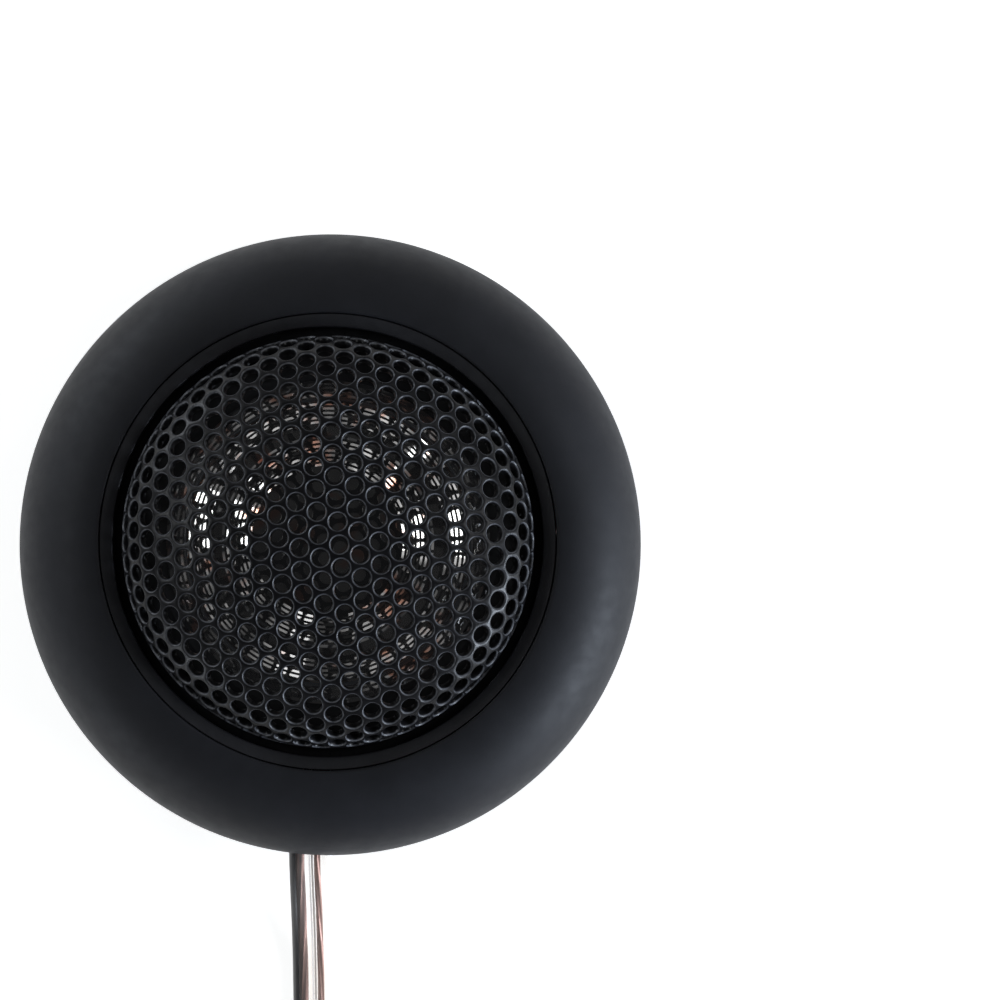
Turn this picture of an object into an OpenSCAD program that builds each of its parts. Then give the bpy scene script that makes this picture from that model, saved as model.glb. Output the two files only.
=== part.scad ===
/* [Trim ring] */
// Outside diameter of the trim ring
bezel_d = 55; // [54.6:0.1:56]
// Height of the trim ring's crest above the mounting surface
bezel_h = 12.8; // [12.6:0.1:13.6]
// Wall thickness of the trim ring
bezel_wall = 1.4; // [1.2:0.1:1.5]
// Turn that unlocks the trim ring, in degrees
unlock_deg = 16; // [14:1:17]

/* [Grille] */
// Radius of the grille's upright wall
grille_r = 18.1; // [17.9:0.1:18.2]
// Radius of the grille's crown
crown_r = 40; // [38:0.5:44]
// Radius of the grille's rounded shoulder
shoulder_r = 6; // [5.6:0.2:6.6]
// Thickness of the grille's sheet
sheet_t = 0.7; // [0.5:0.1:0.8]

/* [Diaphragm and motor] */
// Radius of the voice coil former, inside
former_r = 12.15; // [12.1:0.05:12.2]
// Radius of the magnet
magnet_r = 11; // [9:0.5:11.2]
// Height of the magnet
magnet_h = 2.8; // [2.6:0.1:2.8]

/* [Mounting] */
// Distance between the two mounting screws
screw_spacing = 45; // [44.6:0.2:45.4]
// Diameter of the mounting screw holes
screw_hole_d = 3.6; // [3.2:0.1:3.8]
// Thickness of the adhesive foam pad
pad_t = 0.8; // [0.6:0.1:0.8]

/* [Lead] */
// Width of the flat twin lead
lead_w = 3.8; // [3.6:0.1:3.8]
// Thickness of the flat twin lead
lead_t = 1.9; // [1.7:0.1:1.9]

/* [Hidden] */
$fn = 96;
root = 0.2;

// Trim ring section
bezel_r = bezel_d / 2;
bezel_in_r = 20.05;
bezel_skirt_r = 21.2;
bezel_skirt_z = 9.3;
crest_r = 20.6;
flank_z = 5.4;
bezel_z = 0.9;
flank_a = bezel_r - crest_r;
flank_b = bezel_h - flank_z;
bezel_wall_r = bezel_r - bezel_wall;
notch_top_z = 5.2;

// Base and its bayonet hooks
base_z = pad_t;
base_top = 2.4;
base_r = bezel_wall_r - 0.4;
lock_angles = [90, 210, 330];
tab_half_deg = 5;
tab_in_r = 24.9;
tab_z = 2.9;
tab_top = 4.1;
hook_half_deg = 6.5;
stop_deg = 1;
hook_in_r = 23.2;
hook_post_r = 24.5;
hook_out_r = 25.5;
hook_under = 4.4;
hook_top = 5.6;
ring_in_r = 16.45;
ring_wall_r = 17.6;
ring_wall_top = 4;

// Heights of the stacked driver
cup_r = 16.4;
cup_in_r = 15.2;
cup_floor = 3.7;
yoke_r = 15;
yoke_gap_r = 13;
yoke_floor = 1.4;
magnet_z = cup_floor + yoke_floor;
plate_z = magnet_z + magnet_h;
plate_top = 9.3;
plate_r = 11.9;
carrier_r = 16.95;
carrier_z = 9.9;
carrier_top = 10.4;
flange_r = 19.3;
flange_z = 9.3;
flange_top = 10.6;
clamp_top = 11.2;
rim_r = 19.92;
rim_in_r = 18.85;
rim_top = 12.6;
grille_flange_top = 11.1;

// Crown and shoulder of the grille
wall_top = 11.9;
shoulder_at = grille_r - shoulder_r;
crown_drop = sqrt(pow(crown_r - shoulder_r, 2) - pow(shoulder_at, 2));
crown_z = wall_top - crown_drop;
blend_deg = asin(shoulder_at / (crown_r - shoulder_r));

// Moving parts
film_t = 0.15;
coil_t = 0.35;
coil_z = 7.8;
coil_top = 9.3;
former_t = 0.15;
former_z = 7.6;
film_edge_z = 10.8;

// Terminals, screws and capacitor
positive_deg = 63;
negative_deg = 245;
ear_angles = [100, 195, 305];
ear_r = 18.6;
ear_top = 3.6;
cap_deg = 30;
cap_at = 20.4;
cap_z = 5.55;
cap_len = 11;
cap_r = 3.05;
screw_r = 0.75;
wire_d = 1.2;
bare_d = 0.6;

// Lead, strain relief and coil
lead_x = -1.8;
relief_y = -25.4;
relief_len = 4.6;
relief_top = 5;
clamp_y = -22.2;
clamp_screw_x = [lead_x - 5.4, lead_x + 5.4];
tie_t = 0.4;
coil_mean_r = 21;
coil_half = 1.5 * lead_t + 0.15;
coil_low = tie_t;
coil_high = coil_low + 2 * lead_w;
coil_x = 21.55;
coil_y = -74;

// Points of the lead from inside the base to the coil: x, y, z and roll of its flat side
lead_route = [[-1.8, -19.6, 3.35, 0], [-1.8, -22.5, 3.35, 0], [-1.8, -25.4, 3.35, 0],
    [-1.77, -28, 3.2, 0], [-1.7, -30.5, 2.6, 0], [-1.62, -33, 1.75, 0], [-1.55, -35.5, 1.15, 0],
    [-1.5, -38, 0.96, 0], [-1.44, -42, 0.96, 0], [-1.42, -46, 0.96, 0], [-1.4, -50, 1.15, 15],
    [-1.4, -54, 1.65, 40], [-1.4, -58, 2.1, 65], [-1.4, -62, 2.3, 85], [-1.4, -66, 2.3, 90]];

// Centre lines of the insulated wires inside the base: x, y, z
positive_route = [[-0.85, -19.6, 3.35], [0.6, -19.2, 4.1], [3.5, -18.9, 5.4], [8.5, -17.2, 6],
    [13.2, -14.2, 6], [16.6, -9.9, 5.8], [18.6, -4.6, 5.6], [19.2, 0, 5.5], [19.8, 2.3, 5.55],
    [20.85, 4.6, 5.55]];
negative_route = [[-2.75, -19.6, 3.35], [-3.8, -19.2, 4.2], [-5.4, -18.6, 5.3], [-6.8, -17.5, 6],
    [-7.5, -16.6, 5.8]];

// From the capacitor's far end to the positive tab
cap_lead_route = [[15.57, 13.84, 5.55], [14.87, 15.05, 5.55], [13.7, 16.6, 5.55],
    [12.4, 17.4, 5.6], [10.8, 17.6, 5.8], [9, 17, 5.9], [8.3, 16.3, 5.7]];

// The two stripped ends of the lead, lying inside the coil, relative to its centre
end_positive_route = [[-1, 17, 7], [-6, 15.6, 5.8], [-10.6, 12.4, 3.8], [-13.4, 7.6, 2],
    [-13.6, 2, 1.1], [-11.4, -3.6, 0.96], [-7.4, -8, 0.96]];
end_negative_route = [[-1, 17, 5.1], [-5.6, 14.8, 4.2], [-9.2, 11, 2.6], [-10.8, 6, 1.4],
    [-10, 1, 0.98], [-7.4, -3.2, 0.96], [-3.8, -6.4, 0.96]];
tip_rings = 3;

// Points of an elliptical arc
function arc(c, a, b, from, to, n) =
    [for (i = [0:n]) let (t = from + (to - from) * i / n) [c.x + a * cos(t), c.y + b * sin(t)]];

// Point, tangent direction and ring of a tube swept along a route
function unit(v) = v / norm(v);
function heading(route, i) =
    unit(xyz(route[min(i + 1, len(route) - 1)]) - xyz(route[max(i - 1, 0)]));
function xyz(p) = [p.x, p.y, p.z];
function roll(p) = len(p) > 3 ? p[3] : 0;
function level(h) = unit(cross([0, 0, 1], h));
function ring(p, h, w, t, sides) =
    let (u = level(h), v = cross(h, u), r = roll(p))
    [for (k = [0:sides - 1])
        let (a = 360 * (k + 0.5) / sides, out = 1 / cos(180 / sides),
            x = w / 2 * cos(a) * out, y = t / 2 * sin(a) * out)
        xyz(p) + u * (x * cos(r) - y * sin(r)) + v * (x * sin(r) + y * cos(r))];
function smooth(route, n) =
    [for (i = [0:len(route) - 2], k = [0:n - 1])
        spline(route[max(i - 1, 0)], route[i], route[i + 1],
            route[min(i + 2, len(route) - 1)], k / n),
     route[len(route) - 1]];
function spline(a, b, c, d, t) =
    0.5 * (2 * b + (c - a) * t + (2 * a - 5 * b + 4 * c - d) * t * t
        + (3 * b - a - 3 * c + d) * t * t * t);

// A closed tube of the given width and thickness along a route
module sweep(route, w, t, sides = 8) {
    n = len(route);
    rings = [for (i = [0:n - 1]) each ring(route[i], heading(route, i), w, t, sides)];
    walls = [for (i = [0:n - 2], k = [0:sides - 1])
        let (a = i * sides + k, b = i * sides + (k + 1) % sides)
        each [[a, a + sides, b + sides], [a, b + sides, b]]];
    first = [for (k = [0:sides - 1]) k];
    last = [for (k = [sides - 1:-1:0]) (n - 1) * sides + k];
    polyhedron(points = rings, faces = concat([first, last], walls), convexity = 4);
}

// An upright tube, a plain disc and a wedge that spans an angle
module tube(r_out, r_in, z0, z1) {
    translate([0, 0, z0])
        difference() {
            cylinder(r = r_out, h = z1 - z0);
            translate([0, 0, -1])
                cylinder(r = r_in, h = z1 - z0 + 2);
        }
}

module disc(r, z0, z1) {
    translate([0, 0, z0])
        cylinder(r = r, h = z1 - z0);
}

module wedge(from, to, z0, z1, reach = 40) {
    translate([0, 0, z0])
        linear_extrude(height = z1 - z0)
            polygon([[0, 0],
                for (k = [0:3]) let (t = from + (to - from) * k / 3) [reach * cos(t), reach * sin(t)]]);
}

// Foam pad that seals the base to the surface it is screwed to
module mounting_pad() {
    color([0.13, 0.13, 0.14])
        difference() {
            tube(base_r - 0.4, 7, 0, pad_t);
            for (side = [-1, 1])
                translate([side * screw_spacing / 2, 0, -1])
                    cylinder(d = screw_hole_d + 1.2, h = pad_t + 2);
        }
}

// Plate screwed to the car, with bayonet hooks, a ring for the cup and a lead channel
module mounting_base() {
    color([0.1, 0.1, 0.11])
        difference() {
            union() {
                disc(base_r, base_z, base_top);
                tube(ring_wall_r, ring_in_r, base_top - root, ring_wall_top);
                for (a = lock_angles)
                    bayonet_hook(a);
            }
            disc(5, base_z - 1, base_top + 1);
            for (side = [-1, 1])
                translate([side * screw_spacing / 2, 0, base_z - 1])
                    cylinder(d = screw_hole_d, h = 4);
            for (a = ear_angles)
                ear_gap(a);
            for (x = clamp_screw_x)
                translate([x, clamp_y, base_z - 1])
                    cylinder(r = screw_r, h = 4);
        }
}

// Hook with a slot for the ring's tab, open at the end where the tab slides out
module bayonet_hook(a) {
    difference() {
        arc_block(a - hook_half_deg - stop_deg, a + hook_half_deg, hook_in_r, hook_out_r,
            base_top - root, hook_top);
        arc_block(a - tab_half_deg - 0.4, a + hook_half_deg + 2, hook_post_r, hook_out_r + 1,
            base_top - 1, hook_under);
    }
}

// Block that spans part of a ring
module arc_block(from, to, r_in, r_out, z0, z1) {
    rotate(from)
        rotate_extrude(angle = to - from)
            translate([r_in, z0])
                square([r_out - r_in, z1 - z0]);
}

// Gap in the locating ring for an ear of the cup, and the hole for its screw
module ear_gap(a) {
    rotate(a) {
        translate([cup_r - 0.5, -2.6, base_top])
            cube([3, 5.2, 4]);
        translate([ear_r, 0, base_z - 1])
            cylinder(r = screw_r, h = 4);
    }
}

// Trim ring: a hollow convex ring that twists onto the base
module bezel_ring() {
    inner_a = flank_a - bezel_wall;
    inner_b = flank_b - bezel_wall;
    skirt_deg = acos((bezel_skirt_r - crest_r) / inner_a);
    color([0.12, 0.12, 0.135])
        difference() {
            union() {
                rotate_extrude()
                    polygon(concat(
                        arc([crest_r, flank_z], flank_a, flank_b, 0, 90, 20),
                        [[bezel_in_r + 0.15, bezel_h], [bezel_in_r, bezel_h - 0.15]],
                        [[bezel_in_r, bezel_skirt_z], [bezel_skirt_r, bezel_skirt_z]],
                        arc([crest_r, flank_z], inner_a, inner_b, skirt_deg, 0, 16),
                        [[bezel_wall_r, bezel_z], [bezel_r - 0.2, bezel_z], [bezel_r, bezel_z + 0.2]]));
                for (a = lock_angles)
                    arc_block(a - tab_half_deg, a + tab_half_deg, tab_in_r, bezel_wall_r + root,
                        tab_z, tab_top);
            }
            lead_deg = atan2(-bezel_r, lead_x);
            wedge(lead_deg - unlock_deg - 6, lead_deg + 6, bezel_z - 1, notch_top_z);
        }
}

// Rim that clamps the grille to the cup
module front_rim() {
    color([0.1, 0.1, 0.11])
        rotate_extrude()
            polygon([[rim_in_r, grille_flange_top], [flange_r, grille_flange_top],
                [flange_r, bezel_skirt_z], [rim_r, bezel_skirt_z], [rim_r, rim_top - 0.15],
                [rim_r - 0.15, rim_top], [rim_in_r + 0.2, rim_top - 0.15],
                [rim_in_r, rim_top - 0.35]]);
}

// Crown and shoulder of the dome, set in from its outside by a thickness
function dome_arc(inset) = concat(
    arc([0, crown_z], crown_r - inset, crown_r - inset, 90, 90 - blend_deg, 8),
    arc([shoulder_at, wall_top], shoulder_r - inset, shoulder_r - inset, 90 - blend_deg, 0, 12));

// Domed grille of sheet steel with a clamping flange
module grille() {
    outside = dome_arc(0);
    inside = dome_arc(sheet_t);
    color([0.11, 0.11, 0.12])
        rotate_extrude()
            polygon(concat(
                outside,
                [[grille_r, grille_flange_top], [flange_r, grille_flange_top],
                 [flange_r, flange_top], [grille_r - sheet_t, flange_top]],
                [for (i = [len(inside) - 1:-1:0]) inside[i]]));
}

// Cup that holds the motor, with ears screwed to the base
module rear_cup() {
    color([0.14, 0.14, 0.15])
        difference() {
            union() {
                disc(cup_r, base_top, flange_z);
                disc(flange_r, flange_z, flange_top);
                for (a = ear_angles)
                    cup_ear(a);
            }
            disc(cup_in_r, cup_floor, flange_z + 5);
            disc(carrier_r + 0.05, carrier_z, flange_top + 1);
            disc(5, base_top - 1, cup_floor + 1);
            for (a = ear_angles)
                rotate(a)
                    translate([ear_r, 0, base_top - 1])
                        cylinder(r = 1.1, h = 4);
            for (a = [positive_deg, negative_deg])
                rotate(a)
                    translate([cup_in_r - 1, -0.4, plate_top])
                        cube([10, 0.8, 0.5]);
        }
}

module cup_ear(a) {
    rotate(a) {
        translate([cup_r - 1, -2, base_top])
            cube([ear_r - cup_r + 1, 4, ear_top - base_top]);
        translate([ear_r, 0, base_top])
            cylinder(r = 2.2, h = ear_top - base_top);
    }
}

// Ring that presses the film's edge onto its carrier
module retaining_ring() {
    color([0.09, 0.09, 0.1])
        rotate_extrude()
            polygon([[14.2, carrier_top + film_t], [carrier_r, carrier_top + film_t],
                [carrier_r, clamp_top], [15, clamp_top], [14.2, carrier_top + film_t + 0.25]]);
}

// Carrier on which the film's edge is bonded
module diaphragm_ring() {
    color([0.16, 0.16, 0.17])
        rotate_extrude()
            polygon([[13.9, carrier_z], [carrier_r, carrier_z], [carrier_r, carrier_top],
                [13.9, carrier_top]]);
}

// Rolled film edge between the coil and the carrier
module surround() {
    color([0.75, 0.72, 0.62, 0.5])
        rotate_extrude()
            polygon(concat(
                [for (p = surround_line) [p.x, p.y + film_t]],
                [for (i = [len(surround_line) - 1:-1:0]) surround_line[i]]));
}

roll_in_r = former_r + former_t + coil_t + 0.05;
surround_line = [[roll_in_r, film_edge_z], [roll_in_r + 0.35, film_edge_z - 0.1],
    [roll_in_r + 0.7, film_edge_z - 0.22], [roll_in_r + 1.05, film_edge_z - 0.35],
    [13.9, carrier_top], [16.4, carrier_top]];

// Domed film with two ribbed steps
dome_line = concat(
    [for (i = [0:8]) let (r = 6.6 * i / 8) [r, 13.45 - 0.4 * pow(r / 6.6, 2)]],
    [[9.1, 12.05], [9.4, 11.95], [10.1, 11.92], [10.4, 11.85], [12.2, 10.95],
     [roll_in_r, film_edge_z]]);

module dome() {
    color([0.75, 0.72, 0.62, 0.5])
        rotate_extrude()
            polygon(concat(
                [for (p = dome_line) [p.x, p.y + film_t]],
                [for (i = [len(dome_line) - 1:-1:0]) dome_line[i]]));
}

// Thin tube that carries the winding
module voice_coil_former() {
    color([0.72, 0.45, 0.2])
        tube(former_r + former_t, former_r, former_z, film_edge_z);
}

// Copper winding
module voice_coil() {
    color([0.72, 0.38, 0.2])
        tube(former_r + former_t + coil_t, former_r + former_t, coil_z, coil_top);
}

// Felt disc that damps the air under the dome
module damping_pad() {
    color([0.1, 0.1, 0.1])
        disc(9, plate_top, plate_top + 0.8);
}

// Steel pole plate
module top_plate() {
    color([0.5, 0.5, 0.52])
        disc(plate_r, plate_z, plate_top);
}

// Ring-free disc magnet
module magnet() {
    color([0.66, 0.66, 0.68])
        disc(magnet_r, magnet_z, plate_z);
}

// Steel cup that returns the field to the gap
module yoke() {
    color([0.5, 0.5, 0.52])
        difference() {
            disc(yoke_r, cup_floor, plate_top);
            disc(yoke_gap_r, magnet_z, plate_top + 1);
        }
}

// Solder tab on the side of the cup
module terminal(a) {
    color([0.83, 0.68, 0.36])
        rotate(a)
            difference() {
                union() {
                    translate([cup_r + 0.05, -1.5, 4.8])
                        cube([0.5, 3, 4.3]);
                    translate([cup_r + 0.05, -1.2, 4.8])
                        cube([2.3, 2.4, 0.5]);
                }
                translate([cup_r + 1.6, 0, 4])
                    cylinder(r = 0.45, h = 2, $fn = 32);
            }
}

module terminal_positive() {
    terminal(positive_deg);
}

module terminal_negative() {
    terminal(negative_deg);
}

// Solder on both tabs: where the wire joins and where the coil's lead joins
module solder_joints() {
    color([0.78, 0.78, 0.8])
        for (a = [positive_deg, negative_deg])
            rotate(a) {
                translate([cup_r + 1.6, 0, 5.3])
                    solder_bead(0.85);
                translate([cup_r + 0.55, 0, 8.6])
                    rotate([0, 90, 0])
                        solder_bead(0.5);
            }
}

module solder_bead(r) {
    intersection() {
        sphere(r = r);
        translate([0, 0, r])
            cube(2 * r, center = true);
    }
}

// Fine lead from the winding to its tab
module coil_lead(a) {
    color([0.72, 0.38, 0.2])
        rotate(a)
            sweep(smooth([[12.85, 0, 9.2], [13.3, 0, 9.52], [14.2, 0, 9.55], [15.6, 0, 9.55],
                [16.8, 0, 9.4], [17.05, 0, 8.9]], 2), 0.2, 0.2);
}

module coil_lead_positive() {
    coil_lead(positive_deg);
}

module coil_lead_negative() {
    coil_lead(negative_deg);
}

// Series capacitor, lying beside the cup
module capacitor_place() {
    rotate(cap_deg)
        translate([cap_at, 0, cap_z])
            rotate([-90, 0, 0])
                translate([0, 0, -cap_len / 2])
                    children();
}

module capacitor_can() {
    color([0.75, 0.76, 0.78])
        capacitor_place()
            rotate_extrude()
                polygon([[0, 0], [2.6, 0], [2.85, 0.25], [2.85, 8.6], [2.55, 9], [2.55, 9.3],
                    [2.85, 9.7], [2.85, 10.3], [2.1, 10.3], [2.1, 9.4], [0, 9.4]]);
}

module capacitor_sleeve() {
    color([0.12, 0.16, 0.32])
        capacitor_place()
            tube(cap_r, 2.85, 0.4, 8.5);
}

module capacitor_bung() {
    color([0.08, 0.08, 0.08])
        capacitor_place()
            disc(2.1, 9.4, 10.2);
}

module capacitor_leads() {
    color([0.8, 0.8, 0.82]) {
        capacitor_place()
            translate([0, 0, -1])
                cylinder(d = bare_d, h = 1);
        sweep(smooth(cap_lead_route, 3), bare_d, bare_d);
    }
}

module insulated_wire(route, shade) {
    color(shade)
        sweep(smooth(route, 3), wire_d, wire_d);
}

module hookup_wire_positive() {
    insulated_wire(positive_route, [0.6, 0.1, 0.08]);
}

module hookup_wire_negative() {
    insulated_wire(negative_route, [0.08, 0.08, 0.08]);
}

// Flexible sleeve that grips the lead where it leaves the base
module strain_relief() {
    color([0.08, 0.08, 0.09])
        difference() {
            translate([lead_x - 3, relief_y, base_top])
                cube([6, relief_len, relief_top - base_top]);
            translate([lead_x - lead_w / 2, relief_y - 1, base_top - 1])
                cube([lead_w, relief_len + 2, lead_t + 1]);
        }
}

// Saddle screwed down over the strain relief
module cable_clamp() {
    color([0.12, 0.12, 0.13])
        difference() {
            translate([lead_x - 7.2, clamp_y - 1.6, base_top])
                cube([14.4, 3.2, relief_top + 0.8 - base_top]);
            translate([lead_x - 3, clamp_y - 3, base_top - 1])
                cube([6, 6, relief_top - base_top + 1]);
            for (x = clamp_screw_x) {
                translate([x, clamp_y, base_top - 1])
                    cylinder(r = 0.9, h = 6);
                translate([x, clamp_y, ear_top])
                    cylinder(r = 1.75, h = 6);
            }
        }
}

// Small self-tapping screws of the cup's ears and of the clamp
module case_screws() {
    color([0.62, 0.62, 0.64]) {
        for (a = ear_angles)
            rotate(a)
                translate([ear_r, 0, ear_top])
                    self_tapping_screw();
        for (x = clamp_screw_x)
            translate([x, clamp_y, ear_top])
                self_tapping_screw();
    }
}

module self_tapping_screw() {
    difference() {
        union() {
            cylinder(r = 1.6, h = 0.8);
            translate([0, 0, 0.8])
                cylinder(r1 = 1.6, r2 = 1.1, h = 0.3);
            translate([0, 0, -2.4])
                cylinder(r = screw_r, h = 2.8);
        }
        for (turn = [0, 90])
            rotate(turn)
                translate([-0.9, -0.2, 0.5])
                    cube([1.8, 0.4, 1]);
    }
}

// Flat twin lead from the strain relief to the coil
module cable() {
    color([0.8, 0.72, 0.68])
        sweep(lead_route, lead_w, lead_t);
}

// Outer shape of the rest of the lead, wound flat
module cable_coil() {
    color([0.8, 0.72, 0.68])
        translate([coil_x, coil_y, 0])
            tube(coil_mean_r + coil_half, coil_mean_r - coil_half, coil_low, coil_high);
}

// Tie round the coil, at its far side
module cable_tie() {
    color([0.1, 0.1, 0.1])
        translate([coil_x, coil_y - coil_mean_r, 0])
            difference() {
                translate([-1.25, -coil_half - tie_t, 0])
                    cube([2.5, 2 * (coil_half + tie_t), coil_high + tie_t]);
                translate([-2, -coil_half - 0.12, coil_low])
                    cube([4, 2 * coil_half + 0.24, coil_high - coil_low]);
            }
}

// One conductor of the split end: insulation, then a tinned tip
module lead_end(route) {
    path = smooth(route, 3);
    n = len(path);
    translate([coil_x, coil_y, 0]) {
        color([0.8, 0.72, 0.68])
            sweep([for (i = [0:n - 1 - tip_rings]) path[i]], lead_t, lead_t);
        color([0.8, 0.8, 0.82])
            sweep([for (i = [n - 1 - tip_rings:n - 1]) path[i]], 1, 1);
    }
}

module lead_end_positive() {
    lead_end(end_positive_route);
}

module lead_end_negative() {
    lead_end(end_negative_route);
}

mounting_pad();
mounting_base();
bezel_ring();
front_rim();
grille();
rear_cup();
retaining_ring();
diaphragm_ring();
surround();
dome();
voice_coil_former();
voice_coil();
damping_pad();
top_plate();
magnet();
yoke();
terminal_positive();
terminal_negative();
solder_joints();
coil_lead_positive();
coil_lead_negative();
capacitor_can();
capacitor_sleeve();
capacitor_bung();
capacitor_leads();
hookup_wire_positive();
hookup_wire_negative();
strain_relief();
cable_clamp();
case_screws();
cable();
cable_coil();
cable_tie();
lead_end_positive();
lead_end_negative();
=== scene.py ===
"""Looks of the surface-mount tweeter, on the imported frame.

Lengths are in millimetres until mesh() scales them.
"""

import math
import random

import bpy
import numpy as np
from mathutils import Matrix, Vector


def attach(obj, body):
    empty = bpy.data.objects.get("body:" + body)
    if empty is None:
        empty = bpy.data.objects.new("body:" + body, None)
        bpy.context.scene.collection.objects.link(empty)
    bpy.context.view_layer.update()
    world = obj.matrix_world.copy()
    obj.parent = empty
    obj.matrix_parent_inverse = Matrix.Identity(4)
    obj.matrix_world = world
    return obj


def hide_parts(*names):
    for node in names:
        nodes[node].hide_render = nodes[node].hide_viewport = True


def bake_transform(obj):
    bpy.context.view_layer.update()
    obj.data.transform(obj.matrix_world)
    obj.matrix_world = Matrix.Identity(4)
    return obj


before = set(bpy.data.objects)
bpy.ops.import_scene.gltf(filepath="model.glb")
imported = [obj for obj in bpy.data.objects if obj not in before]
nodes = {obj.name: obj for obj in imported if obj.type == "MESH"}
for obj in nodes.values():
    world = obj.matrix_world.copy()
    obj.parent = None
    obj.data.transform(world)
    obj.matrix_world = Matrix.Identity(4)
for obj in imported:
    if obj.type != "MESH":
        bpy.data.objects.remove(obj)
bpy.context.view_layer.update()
rng = random.Random(7)
MM = 0.001

CAMERA_AT, CAMERA_AIM = (19.03, -22.23, 605), (15.03, 3.94, 5.0)
SOFTBOX_AWAY, SOFTBOX_AIM = 900, (0, 0, 8)
FLOOR_HALF, FLOOR_GLOW = 1500, 0.72


# ---------------------------------------------------------------- camera and light
def point_at(obj, place, target, up=(0, 1, 0)):
    """Puts an object at a place, looking down its -Z at a target, both in millimetres."""
    place, target = Vector(place) * MM, Vector(target) * MM
    w = (place - target).normalized()
    u = Vector(up).cross(w).normalized()
    v = w.cross(u)
    obj.matrix_world = Matrix.Translation(place) @ Matrix((u, v, w)).transposed().to_4x4()


def add(name, data):
    """Puts new data into the scene as an object."""
    obj = bpy.data.objects.new(name, data)
    bpy.context.scene.collection.objects.link(obj)
    return obj


camera = add("camera", bpy.data.cameras.new("camera"))
camera.data.lens = 244.0
camera.data.sensor_width = 36.0
camera.data.clip_start = 0.02
camera.data.clip_end = 20.0
point_at(camera, CAMERA_AT, CAMERA_AIM)
bpy.context.scene.camera = camera


def softbox(name, azimuth, elevation, width, height, radiance, tint):
    """An area light aimed at the object; radiance is the brightness that a mirror would show."""
    data = bpy.data.lights.new(name, "AREA")
    data.shape = "RECTANGLE"
    data.size, data.size_y = width * MM, height * MM
    data.energy = radiance * math.pi * width * height * MM * MM
    data.color = tint
    obj = add(name, data)
    a, e = math.radians(azimuth), math.radians(elevation)
    way = Vector((math.cos(a) * math.cos(e), math.sin(a) * math.cos(e), math.sin(e)))
    point_at(obj, way * SOFTBOX_AWAY, SOFTBOX_AIM, (0, 0, 1))


softbox("softbox_right", 8, 44, 270, 170, 7.0, (0.96, 0.98, 1.0))
softbox("softbox_left", 167, 44, 310, 170, 7.0, (0.93, 0.97, 1.0))
softbox("softbox_high_left", 141, 44, 80, 120, 7.0, (0.93, 0.97, 1.0))
softbox("softbox_high_right", 48, 44, 80, 120, 6.0, (0.93, 0.97, 1.0))
softbox("softbox_below", -110, 44, 140, 150, 2.0, (0.95, 0.97, 1.0))
softbox("softbox_low_front", -142, 11, 340, 150, 11.0, (0.86, 0.92, 1.0))
softbox("softbox_low_right", -22, 9, 500, 170, 44.0, (0.78, 0.87, 1.0))
softbox("softbox_low_left", 140, 9, 420, 150, 12.0, (0.86, 0.92, 1.0))


def remap(tree, value, start, end, low, high):
    """A node that carries start to end over to low to high."""
    n = tree.nodes.new("ShaderNodeMapRange")
    for key, v in zip(("From Min", "From Max", "To Min", "To Max"), (start, end, low, high)):
        n.inputs[key].default_value = v
    tree.links.new(value, n.inputs["Value"])
    return n.outputs["Result"]


def studio_world():
    """A room with one uneven bright band half way up, and dark overhead.

    Each stop is a height from straight down at 0 to straight up at 1, and its brightness.
    """
    world = bpy.data.worlds.new("studio")
    bpy.context.scene.world = world
    world.use_nodes = True
    tree = world.node_tree
    tree.nodes.clear()
    out = tree.nodes.new("ShaderNodeOutputWorld")
    back = tree.nodes.new("ShaderNodeBackground")
    where = tree.nodes.new("ShaderNodeTexCoord")
    split = tree.nodes.new("ShaderNodeSeparateXYZ")
    ramp = tree.nodes.new("ShaderNodeValToRGB")
    stops = ((0.0, 0.03), (0.5, 0.3), (0.57, 0.3), (0.61, 0.02), (0.635, 1.0), (0.715, 1.0),
             (0.74, 0.02), (1.0, 0.018))
    while len(ramp.color_ramp.elements) < len(stops):
        ramp.color_ramp.elements.new(0.5)
    for element, (at, light) in zip(ramp.color_ramp.elements, stops):
        element.position = at
        element.color = (light * 0.97, light * 0.98, light, 1)
    tree.links.new(where.outputs["Generated"], split.inputs[0])
    tree.links.new(split.outputs["Z"], ramp.inputs["Fac"])
    tree.links.new(ramp.outputs["Color"], back.inputs["Color"])
    side = tree.nodes.new("ShaderNodeVectorMath")
    side.operation = "DOT_PRODUCT"
    side.inputs[1].default_value = (0.45, 0.9, 0.0)
    tree.links.new(where.outputs["Generated"], side.inputs[0])
    patches = tree.nodes.new("ShaderNodeTexNoise")
    patches.inputs["Scale"].default_value = 3.5
    tree.links.new(where.outputs["Generated"], patches.inputs["Vector"])
    both = tree.nodes.new("ShaderNodeMath")
    both.operation = "MULTIPLY"
    tree.links.new(remap(tree, side.outputs["Value"], -0.8, 0.8, 0.55, 1.35), both.inputs[0])
    tree.links.new(remap(tree, patches.outputs["Fac"], 0.4, 0.6, 0.2, 1.15), both.inputs[1])
    tree.links.new(both.outputs[0], back.inputs["Strength"])
    tree.links.new(back.outputs[0], out.inputs[0])


studio_world()
bpy.context.scene.view_settings.view_transform = "Standard"
bpy.context.scene.view_settings.look = "None"


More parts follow.
